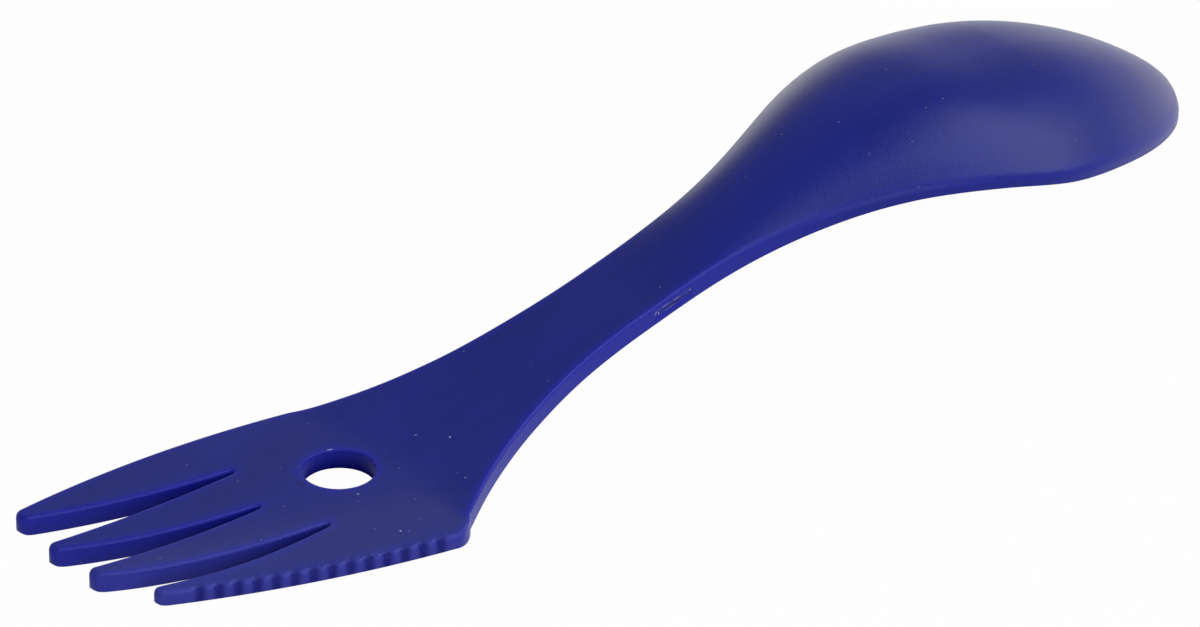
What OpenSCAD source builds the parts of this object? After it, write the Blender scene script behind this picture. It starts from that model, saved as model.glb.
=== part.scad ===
// A one-piece moulded spork, lying with its bowl face down: a spoon bowl at one end of a waisted
// handle, and at the other a flat fork plate with four swept tines, a round hanging hole and a
// serrated knife edge along the outer side of one tine.
// The part lies along X, the spoon's tip towards +X and the knife edge towards -Y.

/* [Overall] */
// Length from the tine tips to the tip of the bowl
length = 170; // [155:1:190]
// Thickness of the fork plate and of the handle
plate_t = 2.5; // [2.2:0.1:3.5]

/* [Bowl] */
// Width of the bowl at its widest
bowl_w = 38.2; // [32:0.2:44]
// Length of the bowl's egg end, from its widest place to its tip
bowl_end_l = 35.9; // [30.4:0.5:41.4]
// Height of the bowl's back above its own rim
crown_h = 9.4; // [7:0.2:12]
// Length of the bowl's end from its highest crown to its tip
crown_end_l = 30.5; // [26:0.5:36]
// Thickness of the rim
rim_t = 1.4; // [1.2:0.1:2]
// Thickness of the wall in the middle of the bowl
bowl_wall = 1.8; // [1.5:0.1:2.4]

/* [Handle] */
// Width of the handle at its waist
waist_w = 11.8; // [9:0.1:15]
// Distance of the waist from the fork plate
waist_reach = 38; // [33:0.5:44]
// Height of the rim's top where the arched handle is highest
arch_h = 13.8; // [9:0.2:18]
// Distance from the waist to the highest place of the arch
arch_reach = 36; // [30:0.5:42]

/* [Fork] */
// Length of the flat fork plate, from the tine tips to the neck
fork_l = 39.1; // [36.1:0.5:43.1]
// Reach of the fork's plain side from the handle's axis
fork_far_w = 20; // [18:0.1:22]
// Reach of the knife corner from the handle's axis
fork_near_w = 17.8; // [16.5:0.1:19]
// Half width of the neck on the plain side, where the fork plate ends
neck_far_w = 14.8; // [13:0.1:15.2]
// Half width of the neck on the knife side, where the fork plate ends
neck_near_w = 15.3; // [14.7:0.1:16]
// Radius of the plain outer tine's tip
outer_tip_r = 1.1; // [0.9:0.05:1.3]
// Radius of the two middle tines' tips
middle_tip_r = 0.95; // [0.7:0.05:1.1]
// Radius of the knife tine's tip
knife_tip_r = 0.7; // [0.5:0.05:0.9]
// Radius of the slots' pointed roots
root_r = 0.3; // [0.2:0.05:0.5]

/* [Hanging hole] */
// Diameter of the hole
hole_d = 8.3; // [6:0.1:9.6]
// Distance of the hole's centre from the tine tips
hole_x = 34.7; // [33:0.1:35]
// Offset of the hole's centre from the handle's axis, towards the plain side
hole_y = 1.6; // [-1:0.1:3]

/* [Knife edge] */
// Thickness of the plate at the knife edge's two ends
knife_t = 1.7; // [1.5:0.1:2.1]
// Width of the shallow slope that thins the plate towards the knife edge
knife_slope_w = 4.8; // [3:0.2:6]
// Bow of the knife edge between the tine's tip and the corner
knife_bow = 1.1; // [0.4:0.1:1.6]
// Spacing of the serrations
flute_pitch = 2.18; // [1.9:0.02:2.3]
// Number of serrations
flute_count = 14; // [8:1:14]
// Depth of a serration at the top of the plate
flute_depth = 0.5; // [0.15:0.05:0.6]
// Width of a serration
flute_w = 1.5; // [1:0.1:1.8]
// Height of the plain edge that is left under the serrations
flute_foot = 0.2; // [0.1:0.1:0.8]
// Distance from the start of the knife edge to the first serration
flute_start = 4.3; // [3:0.1:5]

/* [Hidden] */

// How far a cut runs past the surface that it opens
overrun = 5;

// Places along the length
waist_x = fork_l + waist_reach;
arch_x = waist_x + arch_reach;
wide_x = length - bowl_end_l;
crown_x = length - crown_end_l;

// The knife side of the bowl or the knife corner, whichever reaches further
near_reach = max(bowl_w / 2, fork_near_w);

// Steps of the curves
neck_steps = 38;
end_steps = 16;
width_steps = 14;
edge_steps = 12;
far_edge_steps = 24;
tip_steps = 8;
hole_sides = 96;
flute_sides = 32;

// Sharpness of the flares from the waist to the neck's two sides, and to the bowl
far_flare_share = 2.05;
near_flare_share = 2.55;
bowl_flare_share = 1.4;

// Exponents of the egg-shaped ends of the bowl's plan and of its crown
plan_egg_share = [1.7, 0.68];
crown_egg_share = [2.1, 0.72];
// How much fuller than a plain vault the crown is across its width
crown_fullness_share = 2.5;

// Rise of the handle and fall of the rim: share of the way, share of the height
rise_share = [[0, 0], [0.085, 0.065], [0.226, 0.24], [0.367, 0.448], [0.51, 0.628], [0.65, 0.779],
    [0.79, 0.894], [0.93, 0.982], [1, 1]];
fall_share = [[0, 1], [0.18, 0.935], [0.36, 0.757], [0.54, 0.575], [0.72, 0.353], [0.9, 0.117], [1, 0]];
// Growth of the crown: share of the way from the waist, share of the crown's height
crown_share = [[0, 0], [0.085, 0.035], [0.25, 0.19], [0.42, 0.405], [0.585, 0.635], [0.75, 0.85],
    [0.875, 0.945], [1, 1]];

// Places on the fork's plan: share of its length from the tips, share of its far reach from the axis
tip_share = [[0.051, 0.945], [0.006, 0.567], [0, 0.215], [0.082, -0.138]];
slot_root_share = [[0.652, 0.48], [0.578, 0.1], [0.660, -0.305]];
far_bend_share = [[0.327, 0.635], [0.249, 0.245], [0.25, -0.145]];
near_bend_share = [[0.328, 0.495], [0.304, 0.11], [0.412, -0.345]];
far_edge_bend_share = 0.55;
// The knife corner's flat end and its apex, as shares of the fork's length
corner_start_share = 0.95;
corner_share = 0.945;
// Where the shallow slope ends, as a share of the knife edge's chord
slope_end_share = 0.985;
// Directions in which the tips' arcs start and end
tip_turns = [75, 240];

// A point between a and b
function mix(a, b, t) = a * (1 - t) + b * t;

// A smooth step from 0 to 1
function ease(t) = t * t * (3 - 2 * t);

// An egg-shaped fall from 1 to 0
function egg(t, share) = pow(1 - pow(min(max(t, 0), 1), share[0]), share[1]);

// Slope of the table's curve at row i, level at its start
function chord(t, i) = (t[i + 1][1] - t[i][1]) / (t[i + 1][0] - t[i][0]);
function slope(t, i) =
    i == 0 ? 0 :
    i == len(t) - 1 ? chord(t, i - 1) / 2 :
    (chord(t, i - 1) + chord(t, i)) / 2;

// Value at x of the smooth curve through the rows of table t
function row(t, x, i = 0) = (i >= len(t) - 2 || x <= t[i + 1][0]) ? i : row(t, x, i + 1);
function through(t, x) =
    let (
        i = row(t, x),
        d = t[i + 1][0] - t[i][0],
        u = min(max((x - t[i][0]) / d, 0), 1)
    )
    mix(t[i][1], t[i + 1][1], ease(u))
    + d * u * (1 - u) * ((1 - u) * slope(t, i) - u * slope(t, i + 1));

// Points of a curve from a to b that bends towards c, without its first point
function bend(a, c, b, steps) =
    [for (i = [1:steps]) let (t = i / steps) mix(mix(a, c, t), mix(c, b, t), t)];

// Points of an arc about c
function arc(c, r, from, to, steps) =
    [for (i = [0:steps]) let (a = mix(from, to, i / steps)) c + r * [cos(a), sin(a)]];

// The middle of a bowed line from a to b, pushed out to the right of its direction
function bowed(a, b, bow) =
    let (d = b - a) (a + b) / 2 + 2 * bow * [d[1], -d[0]] / norm(d);

// A place on the fork's plan
function fork_point(share) = [share[0] * fork_l, share[1] * fork_far_w];

// Centres and radii of the four tine tips
tip_r = [outer_tip_r, middle_tip_r, middle_tip_r, knife_tip_r];
function tip_centre(i) = fork_point(tip_share[i]) + [tip_r[i], 0];
function tip_arc(i) =
    arc(i == 0 ? [tip_centre(i)[0], fork_far_w - tip_r[i]] : tip_centre(i), tip_r[i],
        i == 0 ? 90 : tip_turns[0], tip_turns[1], tip_steps);

// Both sides of slot i, between tines i and i + 1
function slot_sides(i) =
    let (
        root = fork_point(slot_root_share[i]),
        mouth_far = tip_arc(i)[tip_steps],
        mouth_near = tip_arc(i + 1)[0]
    )
    concat(
        bend(mouth_far, fork_point(far_bend_share[i]), root + [0, root_r], edge_steps),
        arc(root, root_r, 90, -90, tip_steps),
        bend(root - [0, root_r], fork_point(near_bend_share[i]), mouth_near, edge_steps)
    );

// The knife edge runs from the knife tine's tip to the corner
knife_start = tip_arc(3)[tip_steps];
knife_corner = [corner_share * fork_l, -fork_near_w];
knife_end = mix(knife_start, knife_corner, corner_start_share);
knife_mid = bowed(knife_start, knife_end, knife_bow);
knife_l = norm(knife_end - knife_start);
knife_turn = atan2(knife_end[1] - knife_start[1], knife_end[0] - knife_start[0]);

// Outline of the fork plate
neck_far = [fork_l, neck_far_w];
neck_near = [fork_l, -neck_near_w];
far_edge_start = tip_arc(0)[0];
fork_outline = concat(
    [neck_far],
    bend(neck_far, [far_edge_bend_share * fork_l, fork_far_w], far_edge_start, far_edge_steps),
    tip_arc(0), slot_sides(0),
    tip_arc(1), slot_sides(1),
    tip_arc(2), slot_sides(2),
    tip_arc(3),
    bend(knife_start, knife_mid, knife_end, far_edge_steps),
    bend(knife_end, knife_corner, neck_near, tip_steps)
);

// Half widths of the handle and the bowl at x, on the plain side and on the knife side
function neck_w(x, from_w, share) =
    mix(waist_w / 2, from_w, pow((waist_x - x) / waist_reach, share));
function bowl_half_w(x) =
    x > wide_x ? bowl_w / 2 * egg((x - wide_x) / bowl_end_l, plan_egg_share) :
    mix(waist_w / 2, bowl_w / 2, ease(pow((x - waist_x) / (wide_x - waist_x), bowl_flare_share)));
function far_w(x) = x < waist_x ? neck_w(x, neck_far_w, far_flare_share) : bowl_half_w(x);
function near_w(x) = x < waist_x ? neck_w(x, neck_near_w, near_flare_share) : bowl_half_w(x);

// Height of the edge's top, thickness of the edge and height of the crown at x
function edge_z(x) =
    x < arch_x ? mix(plate_t, arch_h, through(rise_share, (x - fork_l) / (arch_x - fork_l))) :
    mix(rim_t, arch_h, through(fall_share, (x - arch_x) / (length - arch_x)));
function edge_t(x) = mix(plate_t, rim_t, ease(min(max((x - waist_x) / arch_reach, 0), 1)));
function crown_z(x) =
    x < waist_x ? 0 :
    x > crown_x ? crown_h * egg((x - crown_x) / crown_end_l, crown_egg_share) :
    crown_h * through(crown_share, (x - waist_x) / (crown_x - waist_x));

// The hollow under the crown is lower than the crown by what the wall gains on the rim
hollow_share = 1 - (bowl_wall - rim_t) / crown_h;

// Share of the crown's height at share s of the width
function bulge(s) = 1 - pow(abs(2 * s - 1), crown_fullness_share);

// One cross-section of the handle and bowl: its top from -Y to +Y, then its underside back again
function section(x) =
    let (
        low = edge_z(x) - edge_t(x),
        places = [for (j = [0:width_steps]) j / width_steps]
    )
    concat(
        [for (s = places) [x, mix(-near_w(x), far_w(x), s), edge_z(x) + crown_z(x) * bulge(s)]],
        [for (s = places) [x, mix(far_w(x), -near_w(x), s), low + hollow_share * crown_z(x) * bulge(s)]]
    );

// Places of the cross-sections, closer together towards the tip
section_x = concat(
    [for (i = [0:neck_steps]) mix(fork_l, wide_x, i / neck_steps)],
    [for (i = [1:end_steps - 1]) mix(wide_x, length, sin(90 * i / end_steps))]
);
ring_points = 2 * (width_steps + 1);
last_ring = ring_points * (len(section_x) - 1);
tip_top = ring_points * len(section_x);
tip_low = tip_top + 1;

body_points = concat(
    [for (x = section_x) each section(x)],
    [[length, 0, edge_z(length)], [length, 0, edge_z(length) - edge_t(length)]]
);

// Two triangles for each step round and along the body
side_faces = [
    for (i = [0:len(section_x) - 2], j = [0:ring_points - 1])
        let (
            a = i * ring_points + j,
            b = i * ring_points + (j + 1) % ring_points
        )
        each [[a, b, b + ring_points], [a, b + ring_points, a + ring_points]]
];

// The flat end against the fork plate
neck_faces = [
    for (j = [0:width_steps - 1])
        let (a = j, b = ring_points - 1 - j)
        each [[a, b, b - 1], [a, b - 1, a + 1]]
];

// The last section draws in to the short upright edge at the bowl's tip
tip_faces = concat(
    [for (j = [0:width_steps - 1]) [last_ring + j, last_ring + j + 1, tip_top]],
    [for (j = [0:width_steps - 1]) let (a = last_ring + width_steps + 1 + j) [a, a + 1, tip_low]],
    let (a = last_ring + width_steps) [[a, a + 1, tip_low], [a, tip_low, tip_top]],
    let (a = last_ring + ring_points - 1) [[a, last_ring, tip_top], [a, tip_top, tip_low]]
);

module handle_and_bowl() {
    polyhedron(points = body_points, faces = concat(side_faces, neck_faces, tip_faces), convexity = 6);
}

// The shallow slope on top of the knife side, along the knife edge until just before the corner
slope_reach = knife_slope_w + overrun;
slope_drop = (plate_t - knife_t) * slope_reach / knife_slope_w;
module knife_slope() {
    translate(knife_start)
        rotate(knife_turn)
            translate([-overrun, knife_slope_w, 0])
                rotate([90, 0, 90])
                    linear_extrude(height = slope_end_share * knife_l + overrun)
                        polygon([
                            [0, plate_t],
                            [-slope_reach, plate_t - slope_drop],
                            [-slope_reach, plate_t + overrun],
                            [0, plate_t + overrun]
                        ]);
}

// The serrations: round flutes spaced along the knife edge's chord, leaning so that they run out
// above the edge's foot
flute_r = (flute_w * flute_w / 4 + flute_depth * flute_depth) / (2 * flute_depth);
flute_lean = atan(flute_depth / (plate_t - flute_foot));
function knife_place(along) =
    let (t = along / knife_l)
    mix(mix(knife_start, knife_mid, t), mix(knife_mid, knife_end, t), t);
module flutes() {
    out = [sin(knife_turn), -cos(knife_turn)];
    for (i = [0:flute_count - 1])
        translate(knife_place(flute_start + i * flute_pitch) + (flute_r - flute_depth) * out)
            translate([0, 0, plate_t])
                rotate(knife_turn)
                    rotate([-flute_lean, 0, 0])
                        translate([0, 0, -plate_t - overrun])
                            cylinder(r = flute_r, h = plate_t + 2 * overrun, $fn = flute_sides);
}

module fork_plate() {
    difference() {
        linear_extrude(height = plate_t)
            polygon(fork_outline);
        knife_slope();
        flutes();
        hanging_hole();
    }
}

module hanging_hole() {
    translate([hole_x, hole_y, -overrun])
        cylinder(d = hole_d, h = plate_t + 2 * overrun, $fn = hole_sides);
}

module spork() {
    color([0.16, 0.17, 0.5])
        translate([-length / 2, (near_reach - fork_far_w) / 2, 0])
            union() {
                fork_plate();
                handle_and_bowl();
            }
}

spork();
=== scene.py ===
import math

import bpy
import numpy as np
from mathutils import Matrix, Vector


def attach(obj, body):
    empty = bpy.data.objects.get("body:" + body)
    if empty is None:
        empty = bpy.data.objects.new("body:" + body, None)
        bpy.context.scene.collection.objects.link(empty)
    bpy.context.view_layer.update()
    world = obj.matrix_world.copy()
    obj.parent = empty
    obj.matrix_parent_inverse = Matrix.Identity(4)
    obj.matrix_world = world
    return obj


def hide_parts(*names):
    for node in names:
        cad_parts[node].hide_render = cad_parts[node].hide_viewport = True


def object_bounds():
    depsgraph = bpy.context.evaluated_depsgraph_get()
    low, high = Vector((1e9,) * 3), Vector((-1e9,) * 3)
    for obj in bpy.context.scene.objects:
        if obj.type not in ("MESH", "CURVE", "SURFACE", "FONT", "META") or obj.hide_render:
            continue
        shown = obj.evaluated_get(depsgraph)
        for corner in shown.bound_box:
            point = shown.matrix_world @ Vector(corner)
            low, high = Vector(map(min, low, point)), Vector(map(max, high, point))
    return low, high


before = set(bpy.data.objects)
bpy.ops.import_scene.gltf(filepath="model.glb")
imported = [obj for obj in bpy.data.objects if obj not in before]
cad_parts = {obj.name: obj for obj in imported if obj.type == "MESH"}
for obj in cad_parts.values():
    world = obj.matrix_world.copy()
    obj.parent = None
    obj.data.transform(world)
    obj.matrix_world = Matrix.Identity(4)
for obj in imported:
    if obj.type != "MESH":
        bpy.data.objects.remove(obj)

cad_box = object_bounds()

# Sizes of the moulding in millimetres, with x from the tine tips and y from the handle's axis
LENGTH = 170
PLATE_T = 2.5
BOWL_W = 38.2
BOWL_END_L = 35.9
CROWN_H = 9.4
CROWN_END_L = 30.5
RIM_T = 1.4
BOWL_WALL = 1.8
WAIST_W = 11.8
WAIST_REACH = 38
ARCH_H = 13.8
ARCH_REACH = 36
FORK_L = 39.1
FORK_FAR_W = 20
FORK_NEAR_W = 17.8
NECK_FAR_W = 14.8
NECK_NEAR_W = 15.3
TIP_R = [1.1, 0.95, 0.95, 0.7]
ROOT_R = 0.3
HOLE_D = 8.3
HOLE_AT = (34.7, 1.6)
KNIFE_T = 1.7
KNIFE_SLOPE_W = 4.8
KNIFE_SLOPE_BLEND = 1.6
KNIFE_RUN_OUT = 1.8
KNIFE_BOW = 1.1
FLUTE_PITCH = 2.18
FLUTE_COUNT = 14
FLUTE_DEPTH = 0.5
FLUTE_DIP = 0.2
FLUTE_FOOT = 0.2
FLUTE_START = 4.3
FLUTE_REACH = 1.8
FLUTE_SHARPNESS = 1.5
TOP_ARRIS_R = 0.45
LOW_ARRIS_R = 0.15
HOLE_RIM_TIGHTNESS = 0.55
GATE_FROM_X = 76.8
GATE_TO_X = 83.5
GATE_MARGIN = 0.45
GATE_DEPTH = 0.1
CELL = 0.9
TIP_ROUNDING = 1.2
TIP_THINNESS = 0.45
TIP_MIDDLE = 0.9
# Width of the painted glow along the arrises, and its share on the bowl
ARRIS_GLOW_W = 1.1
BOWL_GLOW_SHARE = 0.4
# Width of the painted grey sheen beside the knife edge, and how far before the neck it fades
SHEEN_W = 14
SHEEN_RUN_OUT = 2.5

WAIST_X = FORK_L + WAIST_REACH
ARCH_X = WAIST_X + ARCH_REACH
WIDE_X = LENGTH - BOWL_END_L
CROWN_X = LENGTH - CROWN_END_L

# The row frame's origin in those millimetres
ORIGIN = np.array([LENGTH / 2, (FORK_FAR_W - BOWL_W / 2) / 2, 0])
MM = 0.001

# Shapes of the flares, the egg ends, the arch and the crown, as in the part's source
FAR_FLARE = 2.05
NEAR_FLARE = 2.55
BOWL_FLARE = 1.4
PLAN_EGG = (1.7, 0.68)
CROWN_EGG = (2.1, 0.72)
CROWN_FULLNESS = 2.5
RISE = [(0, 0), (0.085, 0.065), (0.226, 0.24), (0.367, 0.448), (0.51, 0.628), (0.65, 0.779),
        (0.79, 0.894), (0.93, 0.982), (1, 1)]
FALL = [(0, 1), (0.18, 0.935), (0.36, 0.757), (0.54, 0.575), (0.72, 0.353), (0.9, 0.117), (1, 0)]
CROWN = [(0, 0), (0.085, 0.035), (0.25, 0.19), (0.42, 0.405), (0.585, 0.635), (0.75, 0.85),
         (0.875, 0.945), (1, 1)]
TIPS = [(0.051, 0.945), (0.006, 0.567), (0, 0.215), (0.082, -0.138)]
SLOT_ROOTS = [(0.652, 0.48), (0.578, 0.1), (0.660, -0.305)]
FAR_BENDS = [(0.327, 0.635), (0.249, 0.245), (0.25, -0.145)]
NEAR_BENDS = [(0.328, 0.495), (0.304, 0.11), (0.412, -0.345)]
FAR_EDGE_BEND = 0.55
CORNER_START = 0.95
CORNER = 0.945
TIP_TURNS = (75, 240)


def mix(a, b, t):
    return a * (1 - t) + b * t


def ease(t):
    return t * t * (3 - 2 * t)


def egg(t, shape):
    """An egg-shaped fall from 1 to 0."""
    return (1 - np.clip(t, 0, 1) ** shape[0]) ** shape[1]


def through(rows, x):
    """The smooth curve through the rows of a table, level at its start."""
    at, value = np.array(rows, float).T
    chord = np.diff(value) / np.diff(at)
    slope = np.r_[0, (chord[:-1] + chord[1:]) / 2, chord[-1] / 2]
    x = np.clip(x, 0, 1)
    i = np.clip(np.searchsorted(at, x, side="left") - 1, 0, len(at) - 2)
    d = at[i + 1] - at[i]
    u = (x - at[i]) / d
    rounding = d * u * (1 - u) * ((1 - u) * slope[i] - u * slope[i + 1])
    return mix(value[i], value[i + 1], ease(u)) + rounding


def bend(a, c, b, steps):
    """Points from a to b that bend towards c, without the first."""
    a, b, c = (np.array(p, float) for p in (a, b, c))
    return [mix(mix(a, c, t), mix(c, b, t), t) for t in np.linspace(0, 1, steps + 1)[1:]]


def arc(centre, radius, start, end, steps):
    turns = np.radians(np.linspace(start, end, steps + 1))
    return [np.array(centre) + radius * np.array([math.cos(a), math.sin(a)]) for a in turns]


def on_fork(share):
    return np.array([share[0] * FORK_L, share[1] * FORK_FAR_W])


def half_w(x, neck_w, flare):
    """Half width of the handle and bowl at x, on the side with that neck and flare."""
    x = np.asarray(x, float)
    neck = mix(WAIST_W / 2, neck_w, np.clip((WAIST_X - x) / WAIST_REACH, 0, None) ** flare)
    along = np.clip((x - WAIST_X) / (WIDE_X - WAIST_X), 0, 1)
    bowl = mix(WAIST_W / 2, BOWL_W / 2, ease(along ** BOWL_FLARE))
    end = BOWL_W / 2 * egg((x - WIDE_X) / BOWL_END_L, PLAN_EGG)
    return np.where(x < WAIST_X, neck, np.where(x > WIDE_X, end, bowl))


def far_w(x):
    return half_w(x, NECK_FAR_W, FAR_FLARE)


def near_w(x):
    return half_w(x, NECK_NEAR_W, NEAR_FLARE)


def edge_z(x):
    """Height of the rim's top along the handle and bowl."""
    rise = mix(PLATE_T, ARCH_H, through(RISE, (x - FORK_L) / (ARCH_X - FORK_L)))
    fall = mix(RIM_T, ARCH_H, through(FALL, (x - ARCH_X) / (LENGTH - ARCH_X)))
    return np.where(x < ARCH_X, rise, fall)


def edge_t(x):
    return mix(PLATE_T, RIM_T, ease(np.clip((x - WAIST_X) / ARCH_REACH, 0, 1)))


def crown_z(x):
    growth = CROWN_H * through(CROWN, (x - WAIST_X) / (CROWN_X - WAIST_X))
    end = CROWN_H * egg((x - CROWN_X) / CROWN_END_L, CROWN_EGG)
    return np.where(x < WAIST_X, 0, np.where(x > CROWN_X, end, growth))


# The tines' rounded tips, the knife edge and the corner, in plan
def tip_arc(i):
    x, y = on_fork(TIPS[i]) + [TIP_R[i], 0]
    if i == 0:
        return arc((x, FORK_FAR_W - TIP_R[i]), TIP_R[i], 90, TIP_TURNS[1], 14)
    return arc((x, y), TIP_R[i], *TIP_TURNS, 14)


def slot_sides(i):
    """Both sides of the slot between tines i and i + 1."""
    root = on_fork(SLOT_ROOTS[i])
    reach = np.array([0, ROOT_R])
    return (bend(tip_arc(i)[-1], on_fork(FAR_BENDS[i]), root + reach, 44)
            + arc(root, ROOT_R, 90, -90, 8)[1:]
            + bend(root - reach, on_fork(NEAR_BENDS[i]), tip_arc(i + 1)[0], 44)[:-1])


knife_start = tip_arc(3)[-1]
knife_corner = np.array([CORNER * FORK_L, -FORK_NEAR_W])
knife_end = mix(knife_start, knife_corner, CORNER_START)
knife_way = knife_end - knife_start
knife_l = np.linalg.norm(knife_way)
corner_l = np.linalg.norm(knife_corner - knife_start)
knife_in = np.array([-knife_way[1], knife_way[0]]) / knife_l
knife_mid = (knife_start + knife_end) / 2 - 2 * KNIFE_BOW * knife_in
neck_far = np.array([FORK_L, NECK_FAR_W])
neck_near = np.array([FORK_L, -NECK_NEAR_W])


def moulding_outline():
    """The whole plan as one closed loop, anticlockwise from the neck's plain side."""
    fork = bend(neck_far, (FAR_EDGE_BEND * FORK_L, FORK_FAR_W), tip_arc(0)[0], 60)[:-1]
    for i in range(3):
        fork += tip_arc(i) + slot_sides(i)
    fork += tip_arc(3) + bend(knife_start, knife_mid, knife_end, 16 * FLUTE_COUNT)
    fork += bend(knife_end, knife_corner, neck_near, 14)
    straight = np.linspace(FORK_L, WIDE_X, 130)[1:]
    round_end = WIDE_X + BOWL_END_L * np.sin(np.linspace(0, math.pi / 2, 70))[1:]
    x = np.r_[straight, round_end]
    near = [np.array(p) for p in zip(x, -near_w(x))]
    far = [np.array(p) for p in zip(x[-2::-1], far_w(x[-2::-1]))]
    return np.array(fork + near + far + [neck_far])


def by_knife_edge(x, y):
    """How far a place lies along the knife edge's chord, and how far inside it."""
    x, y = x - knife_start[0], y - knife_start[1]
    along = x * knife_way[0] / knife_l + y * knife_way[1] / knife_l
    inside = x * knife_in[0] + y * knife_in[1]
    return along, inside


def knife_drop(x, y):
    """How far the shallow slope beside the knife edge lies below the plate's top."""
    along, inside = by_knife_edge(x, y)
    down = KNIFE_SLOPE_W - inside
    rounded = np.clip(down, 0, None) ** 2 / (2 * KNIFE_SLOPE_BLEND)
    past = np.where(down < KNIFE_SLOPE_BLEND, rounded, down - KNIFE_SLOPE_BLEND / 2)
    run_out = ease(np.clip((corner_l - along) / KNIFE_RUN_OUT, 0, 1))
    return (PLATE_T - KNIFE_T) * past / KNIFE_SLOPE_W * run_out


def flute(x, y):
    """How deep the serrations bite at a place, from 0 to 1, fading from the knife edge inwards."""
    along, inside = by_knife_edge(x, y)
    inside = inside + 4 * KNIFE_BOW * (along / knife_l) * (1 - along / knife_l)
    turn = (along - FLUTE_START) / FLUTE_PITCH
    fluted = (turn > -0.5) & (turn < FLUTE_COUNT - 0.5) & (inside < FLUTE_REACH)
    wave = (0.5 + 0.5 * np.cos(2 * math.pi * turn)) ** FLUTE_SHARPNESS
    return np.where(fluted, wave * ease(np.clip(1 - inside / FLUTE_REACH, 0, 1)), 0)


def bulge(x, y):
    """Share of the crown's height across the moulding: 0 at both edges and 1 in the middle."""
    across = (2 * y + near_w(x) - far_w(x)) / np.maximum(near_w(x) + far_w(x), 1e-6)
    return 1 - np.clip(abs(across), 0, 1) ** CROWN_FULLNESS


def top_z(x, y):
    """Height of the moulding's upper face."""
    plate = PLATE_T - knife_drop(x, y)
    return np.where(x < FORK_L, plate, edge_z(x) + crown_z(x) * bulge(x, y))


def low_z(x, y):
    """Height of the moulding's underside."""
    hollow = 1 - (BOWL_WALL - RIM_T) / CROWN_H
    body = edge_z(x) - edge_t(x) + hollow * crown_z(x) * bulge(x, y)
    return np.where(x < FORK_L, 0, body)


def choose(piece, wanted):
    """Selects in edit mode the faces whose centre and normal pass the test."""
    bpy.ops.object.mode_set(mode="EDIT")
    bpy.ops.mesh.select_mode(type="FACE")
    bpy.ops.mesh.select_all(action="DESELECT")
    bpy.ops.object.mode_set(mode="OBJECT")
    for face in piece.data.polygons:
        face.select = wanted(face.center, face.normal)
    bpy.ops.object.mode_set(mode="EDIT")


def round_arris(radius, steps):
    """Insets the selected flat region in steps that follow a quarter round."""
    turns = np.radians(np.linspace(0, 90, steps + 1))
    inward = radius * (1 - np.cos(turns))
    upward = radius * np.sin(turns)
    for k in range(steps):
        bpy.ops.mesh.inset(thickness=inward[k + 1] - inward[k], depth=upward[k + 1] - upward[k],
                           use_even_offset=True, use_boundary=True)


def gate_scar(piece):
    """The small cut mark where the moulding was broken off its runner, on the handle's near wall."""
    def on_wall(centre, normal):
        return GATE_FROM_X < centre.x < GATE_TO_X and normal.y < -0.7 and abs(normal.z) < 0.1
    choose(piece, on_wall)
    bpy.ops.mesh.inset(thickness=GATE_MARGIN, depth=0, use_even_offset=True)
    bpy.ops.mesh.inset(thickness=GATE_DEPTH, depth=-GATE_DEPTH, use_even_offset=True)


def cut_in_cells(piece):
    """Cuts the broad faces into small cells, fine enough to take the arch and the crown."""
    choose(piece, lambda centre, normal: abs(normal.z) > 0.999)
    bpy.ops.mesh.hide(unselected=True)
    for x in np.arange(FORK_L, LENGTH - 1, CELL):
        bpy.ops.mesh.select_all(action="SELECT")
        bpy.ops.mesh.bisect(plane_co=(x, 0, 0), plane_no=(1, 0, 0))
    for x in np.arange(CELL, FORK_L - CELL / 2, 2 * CELL):
        bpy.ops.mesh.select_all(action="SELECT")
        bpy.ops.mesh.bisect(plane_co=(x, 0, 0), plane_no=(1, 0, 0))
    for y in np.arange(-BOWL_W / 2 + 0.7 * CELL, BOWL_W / 2, CELL):
        bpy.ops.mesh.select_all(action="SELECT")
        bpy.ops.mesh.bisect(plane_co=(0, y, 0), plane_no=(0, 1, 0))
    bpy.ops.mesh.reveal(select=False)


def mould_spork():
    """The whole spork: a flat slab with rounded arrises, drawn up to its arch and crown."""
    outline = moulding_outline()
    bpy.ops.object.select_all(action="DESELECT")
    bpy.ops.mesh.primitive_circle_add(vertices=len(outline), radius=LENGTH / 2)
    piece = bpy.context.object
    piece.name = piece.data.name = "moulded_spork"
    flat = np.c_[outline, np.full(len(outline), LOW_ARRIS_R)]
    piece.data.vertices.foreach_set("co", flat.astype(np.float32).ravel())
    bpy.ops.object.mode_set(mode="EDIT")
    middle = (*HOLE_AT, LOW_ARRIS_R)
    bpy.ops.mesh.primitive_circle_add(vertices=128, radius=HOLE_D / 2, location=middle)
    bpy.ops.mesh.select_all(action="SELECT")
    bpy.ops.mesh.fill(use_beauty=False)
    bpy.ops.mesh.select_mode(type="EDGE")
    bpy.ops.mesh.select_all(action="SELECT")
    bpy.ops.mesh.region_to_loop()
    bpy.ops.mesh.select_all(action="INVERT")
    bpy.ops.mesh.dissolve_edges(use_verts=False)
    bpy.ops.mesh.select_mode(type="FACE")
    bpy.ops.mesh.select_all(action="SELECT")
    wall = PLATE_T - LOW_ARRIS_R - TOP_ARRIS_R
    bpy.ops.mesh.extrude_region_move(TRANSFORM_OT_translate={"value": (0, 0, wall)})
    bpy.ops.mesh.select_all(action="SELECT")
    bpy.ops.mesh.normals_make_consistent(inside=False)
    choose(piece, lambda centre, normal: normal.z > 0.9)
    round_arris(TOP_ARRIS_R, 5)
    choose(piece, lambda centre, normal: normal.z < -0.9)
    round_arris(LOW_ARRIS_R, 2)
    gate_scar(piece)
    cut_in_cells(piece)
    bpy.ops.mesh.select_all(action="SELECT")
    bpy.ops.mesh.remove_doubles(threshold=0.0005)
    bpy.ops.object.mode_set(mode="OBJECT")
    draw_up(piece)
    return piece


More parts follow.
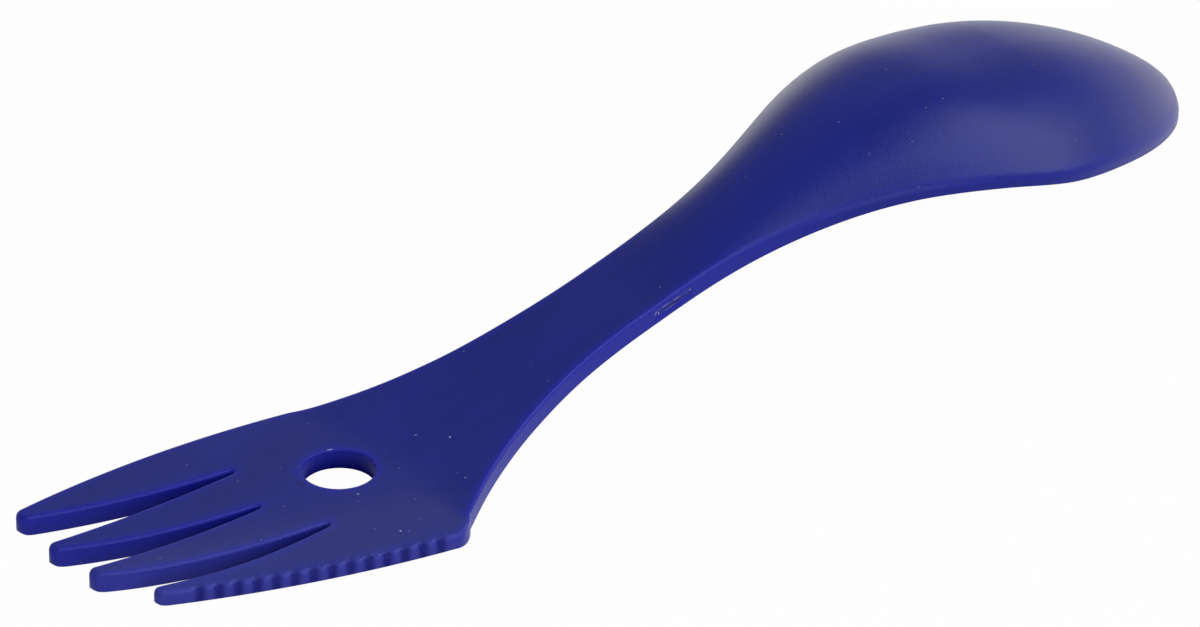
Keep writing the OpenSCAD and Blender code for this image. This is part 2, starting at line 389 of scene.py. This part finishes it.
def tip_squeeze(x, y):
    """Share of the plate's height that is left at a place near a tine's rounded tip."""
    left = np.ones_like(x)
    for tip in TIPS:
        front, side = on_fork(tip)
        back = np.clip((x - front) / TIP_ROUNDING, 0, 1)
        rounded = mix(TIP_THINNESS, 1, np.sqrt(1 - (1 - back) ** 2))
        left = np.where(abs(y - side) < 2.5, np.minimum(left, rounded), left)
    return left


def draw_up(piece):
    """Lifts the flat slab to the arch and the crown, and brings it to the row frame in metres."""
    co = np.empty(len(piece.data.vertices) * 3, np.float32)
    piece.data.vertices.foreach_get("co", co)
    x, y, z = co.reshape(-1, 3).astype(float).T
    upper = z > PLATE_T / 2
    from_hole = np.hypot(x - HOLE_AT[0], y - HOLE_AT[1])
    at_rim = upper & (from_hole < HOLE_D / 2 + TOP_ARRIS_R + 0.01)
    tight = np.where(at_rim, HOLE_RIM_TIGHTNESS, 1)
    pull = np.where(at_rim, mix(HOLE_D / 2, from_hole, tight) / np.maximum(from_hole, 1), 1)
    x = HOLE_AT[0] + (x - HOLE_AT[0]) * pull
    y = HOLE_AT[1] + (y - HOLE_AT[1]) * pull
    z = np.where(upper, PLATE_T - (PLATE_T - z) * tight, z)
    z = TIP_MIDDLE + (z - TIP_MIDDLE) * tip_squeeze(x, y)
    bite = flute(x, y)
    lean = np.clip((z - FLUTE_FOOT) / (PLATE_T - FLUTE_FOOT), 0, 1)
    lifted = np.where(upper, top_z(x, y) - (PLATE_T - z) - FLUTE_DIP * bite, low_z(x, y) + z)
    lifted = np.minimum(lifted, cad_box[1][2] / MM)
    x = x + FLUTE_DEPTH * bite * lean * knife_in[0]
    y = y + FLUTE_DEPTH * bite * lean * knife_in[1]
    shaped = (np.c_[x, y, lifted] - ORIGIN) * MM
    piece.data.vertices.foreach_set("co", shaped.astype(np.float32).ravel())
    piece.data.update()


spork = mould_spork()
bpy.ops.object.shade_smooth()
evened = spork.modifiers.new("even_normals", "WEIGHTED_NORMAL")
evened.mode = "FACE_AREA"
bpy.ops.object.modifier_apply(modifier=evened.name)
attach(spork, "root")
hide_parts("spork")


class Wire:
    """A socket of a finish's nodes, on which sums are written as plain expressions."""

    def __init__(self, finish, socket):
        self.finish = finish
        self.socket = socket

    def sum(self, operation, *values):
        node = self.finish.node("ShaderNodeMath", {"operation": operation}, dict(enumerate(values)))
        return Wire(self.finish, node.outputs[0])

    def __add__(self, other):
        return self.sum("ADD", self, other)

    def __sub__(self, other):
        return self.sum("SUBTRACT", self, other)

    def __rsub__(self, other):
        return self.sum("SUBTRACT", other, self)

    def __mul__(self, other):
        return self.sum("MULTIPLY", self, other)

    def __gt__(self, other):
        return self.sum("GREATER_THAN", self, other)

    __radd__ = __add__
    __rmul__ = __mul__

    def over(self, low, high):
        """Eases from 0 at low to 1 at high."""
        node = self.finish.node("ShaderNodeMapRange", {"interpolation_type": "SMOOTHSTEP"},
                                {"Value": self, "From Min": low, "From Max": high})
        return Wire(self.finish, node.outputs["Result"])


class Finish:
    """A material and the nodes that make it."""

    def __init__(self, name, tree=None):
        if tree is None:
            self.material = bpy.data.materials.new(name)
            self.material.use_nodes = True
            tree = self.material.node_tree
        self.tree = tree
        self.tree.nodes.clear()

    def node(self, kind, settings=None, inputs=None):
        node = self.tree.nodes.new(kind)
        for name, value in (settings or {}).items():
            setattr(node, name, value)
        for name, value in (inputs or {}).items():
            if isinstance(value, Wire):
                self.tree.links.new(value.socket, node.inputs[name])
            else:
                node.inputs[name].default_value = value
        return node

    def wire(self, kind, settings=None, inputs=None, output=0):
        return Wire(self, self.node(kind, settings, inputs).outputs[output])

    def place(self, scale=(1, 1, 1)):
        """Where a point lies on the piece, in metres, with each axis stretched."""
        coords = self.wire("ShaderNodeTexCoord", output="Object")
        return self.wire("ShaderNodeMapping", inputs={"Vector": coords, "Scale": scale})

    def mark(self, name):
        """A value that was written on the piece's points."""
        return self.wire("ShaderNodeAttribute", {"attribute_name": name}, output="Fac")

    def spot(self, at, turn, pitch, reach):
        """1 in a small long spot that lies at a place in millimetres, fading to 0 at its rim."""
        own = self.wire("ShaderNodeMapping", {"vector_type": "TEXTURE"}, {
            "Vector": self.wire("ShaderNodeTexCoord", output="Object"),
            "Location": [c * MM for c in at],
            "Rotation": (0, math.radians(-pitch), math.radians(turn)),
            "Scale": [c * MM for c in reach]})
        gap = self.wire("ShaderNodeVectorMath", {"operation": "LENGTH"}, {0: own}, output="Value")
        return 1 - gap.over(0.5, 1)

    def specks(self, place, scale, rarity, reach):
        """1 on small specks that lie scattered on the surface."""
        cells = self.node("ShaderNodeTexVoronoi", {"feature": "F1"},
                          {"Vector": place, "Scale": scale})
        own = Wire(self, cells.outputs["Color"])
        gap = Wire(self, cells.outputs["Distance"])
        pick = self.wire("ShaderNodeSeparateColor", inputs={"Color": own})
        return (pick > rarity) * (1 - gap.over(reach * 0.3, reach))

    def noise(self, place, scale, detail):
        return self.wire("ShaderNodeTexNoise", {"noise_dimensions": "3D"},
                         {"Vector": place, "Scale": scale, "Detail": detail})

    def tint(self, factor, first, second):
        """A colour between two colours."""
        node = self.node("ShaderNodeMix", {"data_type": "RGBA"},
                         {"Factor": factor, 6: first, 7: second})
        return Wire(self, node.outputs[2])


# Whitish nicks, and dark smudges with a painted shade on the gate scar's floor, in millimetres and
# degrees: place in the row frame, turn, pitch, reach
NICKS = [
    ((-48.2, 4.95, 2.4), 151, 0, (0.5, 0.1, 0.4)),
    ((-52.4, -4.3, 2.4), 0, 0, (0.18, 0.18, 1)),
    ((-37.7, -3.7, 3.8), 20, 0, (0.22, 0.18, 1)),
    ((-41.7, -10.5, 3.0), 0, 0, (0.12, 0.12, 1)),
    ((-39.8, -0.3, 3.3), -40, 0, (0.2, 0.1, 1)),
    ((-54.0, -13.0, 2.2), 0, 0, (0.17, 0.17, 1)),
    ((-7.7, -6.3, 8.7), 0, 80, (0.35, 0.4, 0.13)),
    ((-7.2, -6.3, 8.5), 0, 100, (0.3, 0.4, 0.1)),
    ((-6.2, -6.3, 9.2), 0, 10, (0.8, 0.4, 0.04)),
    ((-4.4, -6.3, 9.4), 0, 10, (0.7, 0.4, 0.07)),
    ((-5.4, -6.3, 8.6), 0, 10, (1.2, 0.4, 0.03)),
    ((-2.3, -6.3, 9.7), 0, 10, (0.2, 0.4, 0.15)),
]
SMUDGES_AND_SHADE = [
    ((-55.6, 1.8, 2.4), -60, 0, (0.9, 0.4, 0.6)),
    # Painted shade on the gate scar's sunken floor
    ((-4.8, -6.3, 9.0), 0, 9, (2.7, 0.6, 0.35)),
]


# The plastic's colours
DEEP_BLUE = (0.0034, 0.0076, 0.124, 1)
FULL_BLUE = (0.0058, 0.0120, 0.186, 1)
# A brighter blue for the painted glow on the arrises
EDGE_GLOW_BLUE = (0.009, 0.012, 0.30, 1)
# A darker blue for the painted shade on the walls of the hole and slots and in the serrations
PAINTED_SHADE_BLUE = (0.0020, 0.0030, 0.095, 1)
# A greyish blue for a painted sheen on the fork beside the knife edge
SHEEN_GREY_BLUE = (0.17, 0.18, 0.30, 1)
# Dark blue for the fork's dark mark and the painted shade on the gate scar
SMUDGE_AND_SHADE_BLUE = (0.0020, 0.0030, 0.060, 1)
DUST_GREY = (0.42, 0.43, 0.62, 1)


def moulded_plastic():
    """Satin dark blue plastic with grain, flow marks, dust, a painted glow on the arrises, painted
    shade in the recesses, serrations and gate scar, and a painted grey sheen by the knife edge.
    """
    f = Finish("satin_blue_plastic")
    place = f.place()
    grain = f.noise(place, 5200, 2)
    flow = f.noise(f.place((0.35, 1, 1)), 130, 3)
    arris = f.mark("arris")
    recess_shade = f.mark("recess_shade")
    # bite: where the painted shade in the serrations lies
    bite = f.mark("bite")
    body = f.tint((grain * 0.7 + flow * 0.3).over(0.3, 0.7), DEEP_BLUE, FULL_BLUE)
    # Painted glow: the arrises are lightened towards a brighter blue
    clear = f.tint(arris * 0.7, body, EDGE_GLOW_BLUE)
    # Painted grey sheen, greying the fork towards the knife edge
    sheened = f.tint(f.mark("grey_sheen") * 0.1, clear, SHEEN_GREY_BLUE)
    # Painted shade: darker blue on the walls of the hole and slots and in the serrations
    shaded = f.tint(recess_shade * 0.7 + bite * 0.7, sheened, PAINTED_SHADE_BLUE)
    speck = f.specks(place, 420, 0.5, 0.065) + f.specks(f.place((1, 0.35, 1)), 700, 0.65, 0.065)
    nick = sum((f.spot(*each) for each in NICKS), start=0)
    # A dark mark on the fork, and painted shade on the gate scar's floor
    smudge_and_shade = sum((f.spot(*each) for each in SMUDGES_AND_SHADE), start=0)
    smudged_and_shaded = f.tint(smudge_and_shade * 0.5, shaded, SMUDGE_AND_SHADE_BLUE)
    colour = f.tint(speck * 0.2 + nick * 0.5, smudged_and_shaded, DUST_GREY)
    relief = f.wire("ShaderNodeBump", inputs={
        "Height": grain + flow * 2 + speck * 3, "Strength": 0.5, "Distance": 0.00006})
    satin = f.node("ShaderNodeBsdfPrincipled", inputs={
        "Base Color": colour,
        "Roughness": 0.25 + grain * 0.04 + flow * 0.04 + arris * 0.1,
        "Specular IOR Level": 0.2,
        "Normal": relief,
    })
    matte = f.node("ShaderNodeBsdfDiffuse", inputs={"Color": colour})
    # The walls of the hole and slots, the serrations and a little of the arrises also lose their gloss,
    # as painted shade
    blend = f.node("ShaderNodeMixShader", inputs={0: recess_shade * 0.95 + bite * 0.5 + arris * 0.08})
    f.tree.links.new(satin.outputs[0], blend.inputs[1])
    f.tree.links.new(matte.outputs[0], blend.inputs[2])
    out = f.node("ShaderNodeOutputMaterial")
    f.tree.links.new(blend.outputs[0], out.inputs["Surface"])
    return f.material


def gap_to(points, line):
    """Distance in plan from each point to the nearest point of a line."""
    return np.array([np.sqrt(((line - p) ** 2).sum(1).min()) for p in points])


def write_mark(piece, name, values):
    layer = piece.data.attributes.new(name, "FLOAT", "POINT")
    layer.data.foreach_set("value", np.clip(values, 0, 1).astype(np.float32))


def mark_surface(piece):
    """Writes where the arrises (for a painted glow), the walls of the hole and slots and the serrations
    (for painted shade) and the fork's side by the knife edge (for a painted grey sheen) lie.
    """
    co = np.empty(len(piece.data.vertices) * 3, np.float32)
    piece.data.vertices.foreach_get("co", co)
    x, y, z = (co.reshape(-1, 3) / MM + ORIGIN).T
    plan = np.c_[x, y]
    turns = np.linspace(0, 2 * math.pi, 256)
    hole = np.c_[np.cos(turns), np.sin(turns)] * HOLE_D / 2 + HOLE_AT
    bite = flute(x, y)
    gap = gap_to(plan, np.r_[moulding_outline(), hole]) - FLUTE_DEPTH * bite
    # Where the painted glow on the arrises lies, weaker on the bowl
    share = mix(1, BOWL_GLOW_SHARE, ease(np.clip((x - WAIST_X) / ARCH_REACH, 0, 1)))
    write_mark(piece, "arris", np.clip(1 - gap / ARRIS_GLOW_W, 0, 1) * share)
    # Painted shade on the walls of the hole and slots, darker towards their foot and further into the
    # slots
    depth = np.clip((PLATE_T - z) / (PLATE_T - LOW_ARRIS_R), 0, 1) ** 0.6
    recess_shade = np.where(gap_to(plan, hole) < LOW_ARRIS_R, depth, 0)
    for i in range(3):
        side = np.array(slot_sides(i))
        from_mouth = ease(np.clip((x - side[:, 0].min()) / (side[:, 0].max() - side[:, 0].min()), 0, 1))
        recess_shade = np.where(gap_to(plan, side) < LOW_ARRIS_R, depth * from_mouth, recess_shade)
    write_mark(piece, "recess_shade", recess_shade)
    # Painted shade in the serrations, below the top arris
    write_mark(piece, "bite", 1.2 * bite ** 0.9 * np.clip((top_z(x, y) - z) / TOP_ARRIS_R, 0, 1))
    # Painted grey sheen, strongest at the knife edge and fading inwards and before the neck
    inside = by_knife_edge(x, y)[1]
    from_knife = ease(np.clip(1 - inside / SHEEN_W, 0, 1))
    write_mark(piece, "grey_sheen", from_knife * ease(np.clip((FORK_L - x) / SHEEN_RUN_OUT, 0, 1)))


mark_surface(spork)
spork.data.materials.clear()
spork.data.materials.append(moulded_plastic())


def white_stage():
    """The flat white table that the spork lies on."""
    bpy.ops.object.select_all(action="DESELECT")
    bpy.ops.mesh.primitive_plane_add(size=6, location=(0, 0, -0.0001))
    floor = bpy.context.object
    floor.name = "floor"
    f = Finish("white_floor")
    rays = f.node("ShaderNodeLightPath")
    seen = Wire(f, rays.outputs["Is Camera Ray"])
    seen = seen + Wire(f, rays.outputs["Is Glossy Ray"]) + Wire(f, rays.outputs["Is Transmission Ray"])
    paper = f.node("ShaderNodeBsdfDiffuse", inputs={"Color": (0.5, 0.5, 0.5, 1)})
    white = f.node("ShaderNodeEmission", inputs={"Color": (1, 1, 1, 1), "Strength": 1.0})
    blend = f.node("ShaderNodeMixShader", inputs={0: seen * 0.975})
    f.tree.links.new(paper.outputs[0], blend.inputs[1])
    f.tree.links.new(white.outputs[0], blend.inputs[2])
    out = f.node("ShaderNodeOutputMaterial")
    f.tree.links.new(blend.outputs[0], out.inputs["Surface"])
    floor.data.materials.append(f.material)


white_stage()


# The room's light, and each softbox's name, turn from +Y towards +X, rise, side and power
ROOM_LIGHT = 0.54
HORIZON_LIGHT = 1.1
HORIZON_BAND = (0.0, 0.35)
SOFTBOX_DISTANCE = 1.2
SOFTBOXES = [
    ("right_softbox", 128, 43, 1.0, 9.0),
    ("front_softbox", 195, 20, 0.6, 4.5),
    ("high_softbox", 235, 62, 0.7, 3.5),
]


def softbox(name, turn, rise, side, power):
    """A square soft lamp that looks at the spork."""
    turn, rise = math.radians(turn), math.radians(rise)
    way = Vector((math.sin(turn) * math.cos(rise), math.cos(turn) * math.cos(rise), math.sin(rise)))
    bpy.ops.object.select_all(action="DESELECT")
    bpy.ops.object.light_add(type="AREA", location=SOFTBOX_DISTANCE * way)
    lamp = bpy.context.object
    lamp.name = name
    lamp.data.shape = "SQUARE"
    lamp.data.size = side
    lamp.data.energy = power
    lamp.rotation_euler = (-way).to_track_quat("-Z", "Y").to_euler()


def studio_light():
    """An even pale room, brighter along its horizon, with softboxes in front of the spork."""
    world = bpy.data.worlds.new("studio")
    bpy.context.scene.world = world
    world.use_nodes = True
    f = Finish("room", world.node_tree)
    up = f.node("ShaderNodeSeparateXYZ", inputs={0: f.wire("ShaderNodeTexCoord", output="Generated")})
    above = Wire(f, up.outputs["Z"]).over(*HORIZON_BAND)
    strength = HORIZON_LIGHT - above * (HORIZON_LIGHT - ROOM_LIGHT)
    room = f.node("ShaderNodeBackground", inputs={"Strength": strength})
    out = f.node("ShaderNodeOutputWorld")
    f.tree.links.new(room.outputs[0], out.inputs["Surface"])
    for lamp in SOFTBOXES:
        softbox(*lamp)


studio_light()


# The camera, as fitted to the photo: its direction, distance, aim, roll and scale
CAMERA_TURN = math.radians(44.3)
CAMERA_RISE = math.radians(30.43)
CAMERA_ROLL = math.radians(0.338)
CAMERA_DISTANCE = 1.01424
CAMERA_AIM = Vector((-0.001995, 0.008703, 0))
PIXELS_PER_METRE = 8574.2
PHOTO_WIDTH = 1200


def place_camera():
    turn, rise = CAMERA_TURN, CAMERA_RISE
    right = Vector((math.cos(turn), -math.sin(turn), 0))
    ahead = Vector((math.sin(turn) * math.cos(rise), math.cos(turn) * math.cos(rise), -math.sin(rise)))
    up = right.cross(ahead)
    rolled = right * math.cos(CAMERA_ROLL) + up * math.sin(CAMERA_ROLL)
    up = rolled.cross(ahead)
    bpy.ops.object.camera_add()
    camera = bpy.context.object
    camera.name = "photo_camera"
    axes = Matrix((rolled, up, -ahead)).transposed().to_4x4()
    camera.matrix_world = Matrix.Translation(CAMERA_AIM - CAMERA_DISTANCE * ahead) @ axes
    camera.data.sensor_width = 36
    camera.data.lens = 36 * PIXELS_PER_METRE * CAMERA_DISTANCE / PHOTO_WIDTH
    camera.data.clip_start = 0.05
    bpy.context.scene.camera = camera


place_camera()
bpy.context.scene.view_settings.view_transform = "Standard"
